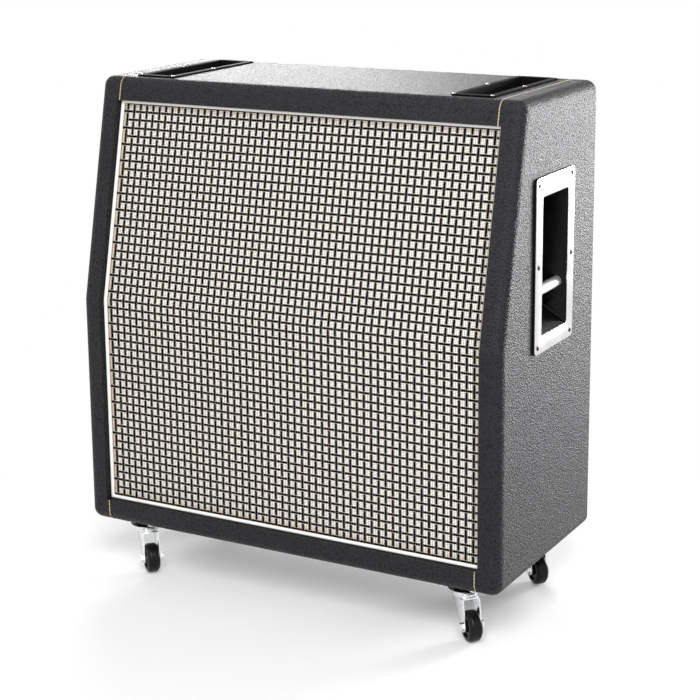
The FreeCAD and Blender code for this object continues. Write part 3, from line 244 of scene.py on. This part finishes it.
def moulded_abs():
    # Injection-moulded ABS: deep black and glossy, with the faint ripple of the mould.
    material, spot = begin("moulded_abs")
    ripple = add(material, "ShaderNodeTexNoise", {"Vector": spot, "Scale": 1 / (14 * MM), "Detail": 2.0})
    return coat(material, ripple.outputs["Fac"], colours=("#050505", "#0c0c0d"),
                roughness=(0.18, 0.3), depth=0.08 * MM,
                **{"Specular IOR Level": 0.14})


def grained_abs():
    # The same plastic with a fine matt grain: it stays black however low the eye is.
    material, spot = begin("grained_abs")
    grain = add(material, "ShaderNodeTexNoise", {"Vector": spot, "Scale": 1 / MM, "Detail": 2.0})
    return coat(material, grain.outputs["Fac"], colours=("#050505", "#0d0d0e"),
                roughness=(0.75, 0.6), depth=0.05 * MM,
                **{"Specular IOR Level": 0.04})


def bright_nickel():
    # Nickel plate on polished steel: a clear bright skin with a haze of handling.
    material, spot = begin("bright_nickel")
    haze = add(material, "ShaderNodeTexNoise", {"Vector": spot, "Scale": 1 / (40 * MM), "Detail": 5.0})
    return coat(material, haze.outputs["Fac"], colours=("#d4d3d0", "#e8e7e6"),
                roughness=(0.15, 0.3), depth=0.01 * MM, metallic=1.0)


def satin_nickel():
    # The same plate on a tumbled bar: paler and softer, so that it takes light from all round.
    material, spot = begin("satin_nickel")
    haze = add(material, "ShaderNodeTexNoise", {"Vector": spot, "Scale": 1 / (8 * MM), "Detail": 4.0})
    return coat(material, haze.outputs["Fac"], colours=("#e0dfdc", "#f2f1ef"),
                roughness=(0.42, 0.55), depth=0.02 * MM, metallic=1.0)


def zinc_plate():
    # Bright zinc on pressed steel: silvery, with a soft spangle and duller patches.
    material, spot = begin("zinc_plate")
    spangle = add(material, "ShaderNodeTexVoronoi", {"Vector": spot, "Scale": 1 / (6 * MM)})
    grey = add(material, "ShaderNodeSeparateColor", {"Color": spangle.outputs["Color"]})
    return coat(material, grey.outputs["Red"], colours=("#dfe2e4", "#f0f1f2"),
                roughness=(0.16, 0.28), depth=0.01 * MM, metallic=1.0)


def dark_brown_steel():
    # Steel coloured dark brown-black: a dark dull metal against the bright plate.
    material, spot = begin("dark_brown_steel")
    bloom = add(material, "ShaderNodeTexNoise", {"Vector": spot, "Scale": 1 / (4 * MM), "Detail": 4.0})
    return coat(material, bloom.outputs["Fac"], colours=("#1a1714", "#453f39"),
                roughness=(0.5, 0.3), depth=0.02 * MM, metallic=1.0)


def painted_steel():
    # Black enamel on pressed steel: satin, with specks where the paint is thin.
    material, spot = begin("painted_steel")
    specks = add(material, "ShaderNodeTexNoise", {"Vector": spot, "Scale": 1 / (2 * MM), "Detail": 3.0})
    return coat(material, specks.outputs["Fac"], colours=("#0f0f10", "#222224"),
                roughness=(0.5, 0.32), depth=0.03 * MM)


def wheel_rubber():
    # Moulded rubber: black, polished by use, with duller scuffs.
    material, spot = begin("wheel_rubber")
    dust_and_painted_shade = add(material, "ShaderNodeTexNoise", {"Vector": spot, "Scale": 1 / (5 * MM), "Detail": 6.0})
    return coat(material, dust_and_painted_shade.outputs["Fac"], colours=("#080808", "#141414"),
                roughness=(0.25, 0.45), depth=0.06 * MM,
                **{"Specular IOR Level": 0.18})


def birch_plywood(name, across):
    # Peeled birch veneer: pale tan, with soft grain that runs eight times as long as it is wide.
    material, spot = begin(name)
    along = add(material, "ShaderNodeMapping", {"Vector": spot, "Scale": across})
    grain = add(material, "ShaderNodeTexNoise", {
        "Vector": along.outputs["Vector"], "Scale": 1 / (60 * MM), "Detail": 8.0})
    return coat(material, grain.outputs["Fac"], colours=("#a98656", "#dcc196"),
                roughness=(0.7, 0.55), depth=0.1 * MM)


def stained_plywood():
    # The same veneer stained black, so that nothing shows through the cloth.
    material, spot = begin("stained_plywood")
    grain = add(material, "ShaderNodeTexNoise", {"Vector": spot, "Scale": 1 / (30 * MM), "Detail": 8.0})
    return coat(material, grain.outputs["Fac"], colours=("#0d0c0b", "#24211f"),
                roughness=(0.8, 0.6), depth=0.1 * MM)


def paper_pulp():
    # Felted and pressed paper: dark grey-brown with short fibres.
    material, spot = begin("paper_pulp")
    fibre = add(material, "ShaderNodeTexNoise", {"Vector": spot, "Scale": 1 / (1.5 * MM), "Detail": 6.0})
    return coat(material, fibre.outputs["Fac"], colours=("#1d1a18", "#3c3732"),
                roughness=(0.95, 0.8), depth=0.1 * MM)


def doped_cotton():
    # Cotton stiffened with resin: brown-black, its weave still showing.
    material, spot = begin("doped_cotton")
    weave = add(material, "ShaderNodeTexChecker", {"Vector": spot, "Scale": 1 / MM})
    return coat(material, weave.outputs["Fac"], colours=("#1b1511", "#382d24"),
                roughness=(0.6, 0.45), depth=0.1 * MM)


def sintered_ferrite():
    # Pressed and fired ferrite: charcoal, granular and dull.
    material, spot = begin("sintered_ferrite")
    grit = add(material, "ShaderNodeTexNoise", {"Vector": spot, "Scale": 1 / MM, "Detail": 4.0})
    return coat(material, grit.outputs["Fac"], colours=("#2b2b2d", "#4b4b4d"),
                roughness=(0.7, 0.5), depth=0.1 * MM, metallic=0.3)


def cable_sheath():
    # Extruded PVC: black, smooth, dusty in places.
    material, spot = begin("cable_sheath")
    dust_and_painted_shade = add(material, "ShaderNodeTexNoise", {"Vector": spot, "Scale": 1 / (20 * MM), "Detail": 4.0})
    return coat(material, dust_and_painted_shade.outputs["Fac"], colours=("#121213", "#2a2828"),
                roughness=(0.4, 0.6), depth=0.05 * MM)


vinyl = embossed_vinyl()
plastic = moulded_abs()
matt_plastic = grained_abs()
nickel = bright_nickel()
satin = satin_nickel()
zinc = zinc_plate()
enamel = painted_steel()
upright_plywood = birch_plywood("upright_plywood", across=(8, 8, 1))
level_plywood = birch_plywood("level_plywood", across=(1, 8, 8))
rubber = wheel_rubber()
stained = stained_plywood()
pulp = paper_pulp()
cotton = doped_cotton()

finishes = {
    "seam_cords": gilt_cord(),
    "grille_piping": white_bead(),
    "rear_panel": vinyl,
    "rear_panel_screws": enamel,
    "handle_screws": dark_brown_steel(),
    "tray_screws": nickel,
    "jack_dish": plastic,
    "jack_socket": nickel,
    "wiring": cable_sheath(),
    "speaker_magnets": sintered_ferrite(),
    "speaker_bolts": enamel,
    "castor_plates": enamel,
    "castor_screws": zinc,
    "baffle_lower": stained,
    "baffle_upper": stained,
    "left_panel": upright_plywood,
    "right_panel": upright_plywood,
}
for name in ("top_panel", "bottom_panel", "front_frame", "baffle_brace", "centre_post", "rear_battens"):
    finishes[name] = level_plywood
for side in ("top", "bottom", *SIDES):
    finishes[f"covering_{side}"] = vinyl
for place in SPEAKERS:
    finishes[f"speaker_basket_{place}"] = enamel
    finishes[f"speaker_cone_{place}"] = pulp
    finishes[f"speaker_suspension_{place}"] = cotton
for side in SIDES:
    finishes[f"handle_cup_{side}"] = plastic
    finishes[f"handle_plate_{side}"] = nickel
    finishes[f"grip_bar_{side}"] = satin
    finishes[f"tray_{side}"] = matt_plastic
for corner in CASTORS:
    finishes[f"castor_fork_{corner}"] = zinc
    finishes[f"castor_axle_{corner}"] = zinc
    finishes[f"castor_wheel_{corner}"] = rubber
for name, finish in finishes.items():
    nodes[name].data.materials.clear()
    nodes[name].data.materials.append(finish)


# Tools for pieces

def piece(name, bm, finish, node, crease=35, flex=None):
    """Make a piece from a bmesh, smooth but for edges sharper than the crease, in degrees. It rides as a
    CAD node does, or, when flex is given, stays in place on no body; the body that flex names is not
    used."""
    mesh = bpy.data.meshes.new(name)
    bm.to_mesh(mesh)
    bm.free()
    mesh.materials.append(finish)
    mesh.shade_smooth()
    mesh.set_sharp_from_angle(angle=math.radians(crease))
    made = bpy.data.objects.new(name, mesh)
    bpy.context.scene.collection.objects.link(made)
    if flex:
        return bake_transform(made)
    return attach(made, nodes[node]["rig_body"])


def merged(name):
    """A copy of a CAD node with its triangles joined."""
    bm = bmesh.new()
    bm.from_mesh(nodes[name].data)
    bmesh.ops.remove_doubles(bm, verts=bm.verts, dist=SLACK)
    return bm


def ease(name, width):
    """Stand in for a CAD node with its flat faces made whole and its sharp edges rounded over."""
    flat, sharp = math.radians(1), math.radians(40)
    bm = merged(name)
    bmesh.ops.dissolve_limit(bm, angle_limit=flat, verts=bm.verts, edges=bm.edges)
    edges = [edge for edge in bm.edges if edge.calc_face_angle(0) > sharp]
    bmesh.ops.bevel(bm, geom=edges, offset=width, segments=2, profile=0.5, affect="EDGES",
                    material=-1, clamp_overlap=True)
    made = piece(f"eased_{name}", bm, finishes[name], name)
    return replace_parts(made, name)


def islands(bm):
    """The vertices of each separate solid in a bmesh."""
    seen = set()
    groups = []
    for first in bm.verts:
        if first in seen:
            continue
        seen.add(first)
        group = [first]
        for vert in group:
            for edge in vert.link_edges:
                other = edge.other_vert(vert)
                if other not in seen:
                    seen.add(other)
                    group.append(other)
        groups.append(group)
    return groups


def solids(name):
    """The lowest and highest corner of each separate solid in a CAD node."""
    bm = merged(name)
    boxes = [[Vector(map(pick, zip(*(vert.co for vert in group)))) for pick in (min, max)]
             for group in islands(bm)]
    bm.free()
    return boxes


# Grille

def cut_at_fold(bm, fold):
    """Give a flat layout an edge at the height where it will be bent."""
    parts = [*bm.verts, *bm.edges, *bm.faces]
    bmesh.ops.bisect_plane(bm, geom=parts, dist=SLACK, plane_co=(0, fold, 0), plane_no=(0, 1, 0))


def flat_sheet(width, length, first_row, fold):
    """The cream cloth laid out flat, each loop knowing its place among the checks."""
    sheet = bmesh.new()
    place = Matrix.LocRotScale((width / 2, length / 2, -SHEET_SETBACK), None, (width, length, 1))
    bmesh.ops.create_grid(sheet, x_segments=1, y_segments=1, size=0.5, matrix=place)
    # inside is 0 at the edges, where the cloth takes its painted tan shade, and 1 clear of it
    inside = sheet.verts.layers.float.new("inside")
    bmesh.ops.inset_region(sheet, faces=sheet.faces, thickness=PAINTED_SHADE_RIM, use_boundary=True,
                           use_even_offset=True)
    for vert in sheet.verts:
        rim = min(vert.co.x, width - vert.co.x, vert.co.y, length - vert.co.y)
        vert[inside] = min(rim / PAINTED_SHADE_RIM, 1)
    cut_at_fold(sheet, fold)
    checks = sheet.loops.layers.uv.new("checks")
    for face in sheet.faces:
        for loop in face.loops:
            loop[checks].uv = ((loop.vert.co.x - FIRST_CORD_ACROSS) / CHECK_ACROSS,
                               (loop.vert.co.y - first_row) / CHECK_UP)
    bmesh.ops.solidify(sheet, geom=sheet.faces, thickness=SHEET_THICKNESS)
    return sheet


def flat_cords(direction, width, length, first_row, fold):
    """The black cords that run one way, laid out flat. Each run lies over one cord of the other way,
    and ends where it dips under the next."""
    cords = bmesh.new()
    for column in range(int(width / CHECK_ACROSS)):
        for row in range(-1, int(length / CHECK_UP)):  # row -1 is cut short by the top edge
            if (column + row) % 2 != (direction == "up"):
                continue
            x = FIRST_CORD_ACROSS + column * CHECK_ACROSS
            y = first_row - row * CHECK_UP
            reach_x = UP_CORD / 2
            reach_y = ACROSS_CORD / 2
            if direction == "across":
                reach_x = CHECK_ACROSS - UP_CORD / 2 - CORD_GAP_ACROSS
            else:
                reach_y = CHECK_UP - ACROSS_CORD / 2 - CORD_GAP_UP
            start = Vector((max(x - reach_x, 0), max(y - reach_y, 0), -SHEET_THICKNESS))
            end = Vector((min(x + reach_x, width), min(y + reach_y, length), 0))
            place = Matrix.LocRotScale((start + end) / 2, None, end - start)
            bmesh.ops.create_cube(cords, size=1, matrix=place)
    crown = [edge for edge in cords.edges if min(vert.co.z for vert in edge.verts) > -SLACK]
    bmesh.ops.bevel(cords, geom=crown, offset=SHEET_SETBACK, segments=2, profile=0.5, affect="EDGES",
                    material=-1)
    cut_at_fold(cords, fold)
    return cords


def grille():
    """The cloth and its black cords, laid out flat, then bent over the fold of the front."""
    low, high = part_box("grille_cloth")
    corners = [vert.co for vert in nodes["grille_cloth"].data.vertices]
    kink = max(corner.z for corner in corners if corner.y < low[1] + SLACK)
    top = min(corner.y for corner in corners if corner.z > high[2] - SLACK)
    width = high[0] - low[0]
    fold = kink - low[2]
    slope = Vector((0, top - low[1], high[2] - kink))
    length = fold + slope.length
    lean = Quaternion(Vector((1, 0, 0)), -math.atan2(slope.y, slope.z))
    first_row = length - FIRST_CORD_DOWN

    def bend(bm):
        """Stand a flat layout up: X across, Y up the cloth, Z out of it."""
        for vert in bm.verts:
            across, up, out = vert.co
            beyond = max(up - fold, 0)
            place = Vector((0, -out, beyond))
            if beyond > SLACK:
                place = lean @ place
            vert.co = Vector((low[0] + across, low[1], low[2] + min(up, fold))) + place
        bmesh.ops.recalc_face_normals(bm, faces=bm.faces)

    sheet = flat_sheet(width, length, first_row, fold)
    bend(sheet)
    cloth = piece("cloth_sheet", sheet, cream_weave(), "grille_cloth", crease=5)
    finish = black_cord()
    for direction in ("across", "up"):
        cords = flat_cords(direction, width, length, first_row, fold)
        bend(cords)
        piece(f"cords_{direction}", cords, finish, "grille_cloth", crease=60)
    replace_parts(cloth, "grille_cloth")


# Fasteners

def screw_head(radius, height):
    """A domed head with a cross recess. Z runs along it, from 0 where its dome begins."""
    crown = height * SCREW_CROWN
    head = bmesh.new()
    bmesh.ops.create_grid(head, x_segments=5, y_segments=5, size=radius)
    cross = []
    for face in head.faces:
        near, far = sorted(abs(c) for c in face.calc_center_median()[:2])
        if near < radius * CROSS_HALF_WIDTH and far < radius * CROSS_REACH:
            cross.append(face)
    for vert in head.verts:
        if vert.is_boundary:
            vert.co = vert.co.normalized() * radius
    for vert in head.verts:
        vert.co.z = crown * (1 - (vert.co.length / radius) ** 2)
    rim = bmesh.ops.extrude_edge_only(head, edges=[edge for edge in head.edges if edge.is_boundary])
    for vert in rim["geom"]:
        if isinstance(vert, bmesh.types.BMVert):
            vert.co.z = crown - height
    bmesh.ops.holes_fill(head, edges=[edge for edge in head.edges if edge.is_boundary])
    recess = bmesh.ops.extrude_face_region(head, geom=cross)
    sunk = [vert for vert in recess["geom"] if isinstance(vert, bmesh.types.BMVert)]
    bmesh.ops.delete(head, geom=cross, context="FACES")
    bmesh.ops.translate(head, verts=sunk, vec=(0, 0, -height * SCREW_RECESS))
    return head


def screw_heads(name, axis):
    """Domed heads in place of a group of CAD screws that face out along an axis."""
    bm = bmesh.new()
    outward = Vector(axis)
    for low, high in solids(name):
        centre = (low + high) / 2
        size = high - low
        way = outward if centre.dot(outward) > 0 else -outward
        height = abs(size.dot(outward))
        radius = max(size - outward * size.dot(outward)) / 2
        head = screw_head(radius, height)
        seat = centre + way * (height / 2 - height * SCREW_CROWN)
        place = Matrix.LocRotScale(seat, way.to_track_quat("Z", "Y"), None)
        bmesh.ops.transform(head, verts=head.verts, matrix=place)
        scratch = bpy.data.meshes.new("head")
        head.to_mesh(scratch)
        head.free()
        bm.from_mesh(scratch)
        bpy.data.meshes.remove(scratch)
    bmesh.ops.recalc_face_normals(bm, faces=bm.faces)
    made = piece(f"heads_{name}", bm, finishes[name], name)
    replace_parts(made, name)


# Loudspeakers

def suspension(joint):
    """A loudspeaker's corrugated edge and its spider, each cut along its crest. The outer half keeps to
    the basket, and the inner half is left in place on no body; the crest and the rim that goes with the
    cone are found for it but not used."""
    name = joint["name"].replace("cone_travel", "speaker_suspension")
    axis = Vector(joint["axis"])
    whole = merged(name)
    whole.faces.index_update()
    middle = sum((vert.co for vert in whole.verts), Vector()) / len(whole.verts)

    def spread(point):
        """How deep a point lies along the axis, and how far from it."""
        depth = (point - middle).dot(axis)
        return depth, (point - middle - axis * depth).length

    rings = sorted(islands(whole), key=lambda ring: spread(ring[0].co)[1])
    for label, ring in zip(("spider", "edge"), rings):
        spots = [spread(vert.co) for vert in ring]
        rim_radius = min(radius for depth, radius in spots)
        rim = [depth for depth, radius in spots if radius < rim_radius + SAME_RING]
        crest_depth, crest_radius = max(spots, key=lambda spot: abs(spot[0] - rim[0]))
        crest = [depth for depth, radius in spots if abs(radius - crest_radius) < SAME_RING]
        start = middle + axis * min(crest, key=lambda depth: abs(depth - rim[0]))
        end = middle + axis * min(rim, key=lambda depth: abs(depth - crest_depth))
        faces = {face for vert in ring for face in vert.link_faces}
        moving = {face.index for face in faces if spread(face.calc_center_median())[1] < crest_radius}
        still = {face.index for face in faces} - moving
        bending = (joint["child"], start, end)
        for half, kept, flex in (("outer", still, None), ("inner", moving, bending)):
            part = whole.copy()
            others = [face for face in part.faces if face.index not in kept]
            bmesh.ops.delete(part, geom=others, context="FACES")
            bmesh.ops.bridge_loops(part, edges=[edge for edge in part.edges if edge.is_boundary])
            bmesh.ops.recalc_face_normals(part, faces=part.faces)
            made = piece(f"{half}_{label}_{name}", part, finishes[name], name, flex=flex)
            if half == "outer":
                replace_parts(made, name)
    whole.free()


grille()
for joint in frame["joints"]:
    if joint["name"].startswith("cone_travel"):
        suspension(joint)
screw_heads("handle_screws", axis=(1, 0, 0))
screw_heads("tray_screws", axis=(0, 0, 1))
screw_heads("rear_panel_screws", axis=(0, 1, 0))
for side in SIDES:
    ease(f"handle_plate_{side}", width=0.4 * MM)
    ease(f"handle_cup_{side}", width=1.2 * MM)
    ease(f"tray_{side}", width=0.8 * MM)
for corner in CASTORS:
    ease(f"castor_fork_{corner}", width=0.4 * MM)


# Floor, light and camera

def sight(owner):
    """1 for what is seen, straight, mirrored or through something, and 0 for what only gives light."""
    rays = add(owner, "ShaderNodeLightPath").outputs
    seen = add(owner, "ShaderNodeMath", {
        "Value": rays["Is Camera Ray"], "Value_001": rays["Is Glossy Ray"]}, operation="MAXIMUM")
    seen = add(owner, "ShaderNodeMath", {
        "Value": seen.outputs["Value"], "Value_001": rays["Is Transmission Ray"]}, operation="MAXIMUM")
    return seen.outputs["Value"]


def floor():
    # Matt white paper, which keeps the shadow and fades to plain white away from the cabinet
    bm = bmesh.new()
    bmesh.ops.create_circle(bm, cap_ends=True, radius=FLOOR_RADIUS, segments=64)
    mesh = bpy.data.meshes.new("floor")
    bm.to_mesh(mesh)
    bm.free()
    ground = bpy.data.objects.new("floor", mesh)
    bpy.context.scene.collection.objects.link(ground)
    material, spot = begin("white_paper")
    away = add(material, "ShaderNodeVectorMath", {"Vector": spot}, operation="LENGTH")
    fade = add(material, "ShaderNodeMapRange", {
        "Value": away.outputs["Value"], "From Min": SHADOW_REACH, "From Max": WHITE_FROM,
        "To Min": WHITE_UNDERNEATH}, interpolation_type="SMOOTHSTEP")
    share = add(material, "ShaderNodeMath", {
        "Value": fade.outputs["Result"], "Value_001": sight(material)}, operation="MULTIPLY")
    paper = add(material, "ShaderNodeBsdfPrincipled", {"Base Color": srgb("#f6f6f6"), "Roughness": 0.9})
    white = add(material, "ShaderNodeEmission")
    mix = add(material, "ShaderNodeMixShader", {
        "Fac": share.outputs["Value"], "Shader": paper.outputs["BSDF"],
        "Shader_001": white.outputs["Emission"]})
    add(material, "ShaderNodeOutputMaterial", {"Surface": mix.outputs["Shader"]})
    mesh.materials.append(material)


def room(light):
    # White all round as the camera and reflections see it, and dimmer as a light
    world = bpy.data.worlds.new("room")
    world.use_nodes = True
    world.node_tree.nodes.clear()
    bpy.context.scene.world = world
    level = add(world, "ShaderNodeMapRange", {"Value": sight(world), "To Min": light, "To Max": 1.0})
    glow = add(world, "ShaderNodeBackground", {
        "Color": srgb("#ffffff"), "Strength": level.outputs["Result"]})
    add(world, "ShaderNodeOutputWorld", {"Surface": glow.outputs["Background"]})


def softbox(name, place, target, size, watts):
    """A flat lamp turned towards a target."""
    data = bpy.data.lights.new(name, "AREA")
    data.shape = "RECTANGLE"
    data.size, data.size_y = size
    data.energy = watts
    lamp = bpy.data.objects.new(name, data)
    lamp.location = place
    lamp.rotation_euler = (Vector(target) - Vector(place)).to_track_quat("-Z", "Y").to_euler()
    bpy.context.scene.collection.objects.link(lamp)


def camera(azimuth, elevation, roll, distance, target, lens, shift):
    """A camera that looks at a target from a distance. Angles are in degrees, azimuth from the front."""
    turn, rise = math.radians(azimuth), math.radians(elevation)
    away = Vector((math.sin(turn) * math.cos(rise), -math.cos(turn) * math.cos(rise), math.sin(rise)))
    data = bpy.data.cameras.new("camera")
    data.lens = lens
    data.shift_y = shift
    data.clip_end = 200  # past the edge of the floor
    eye = bpy.data.objects.new("camera", data)
    eye.location = Vector(target) + away * distance
    aim = (-away).to_track_quat("-Z", "Y") @ Quaternion((0, 0, 1), math.radians(roll))
    eye.rotation_euler = aim.to_euler()
    bpy.context.scene.collection.objects.link(eye)
    bpy.context.scene.camera = eye


floor()
room(light=0.55)
softbox("front_softbox", place=(1.3, -2.5, 2.6), target=(0, 0, 0.45), size=(1.8, 1.8), watts=94)
softbox("side_softbox", place=(1.75, 3.0, 0.6), target=(0.38, 0, 0.5), size=(1.3, 1.1), watts=158)
softbox("back_softbox", place=(-1.9, 2.6, 1.6), target=(-0.2, 0, 0.85), size=(1.4, 0.9), watts=60)
camera(azimuth=29.08, elevation=12.83, roll=-0.52, distance=2.9923, target=(0.0296, 0, 0.5419),
       lens=93.34, shift=-0.12)
bpy.context.scene.view_settings.view_transform = "Standard"
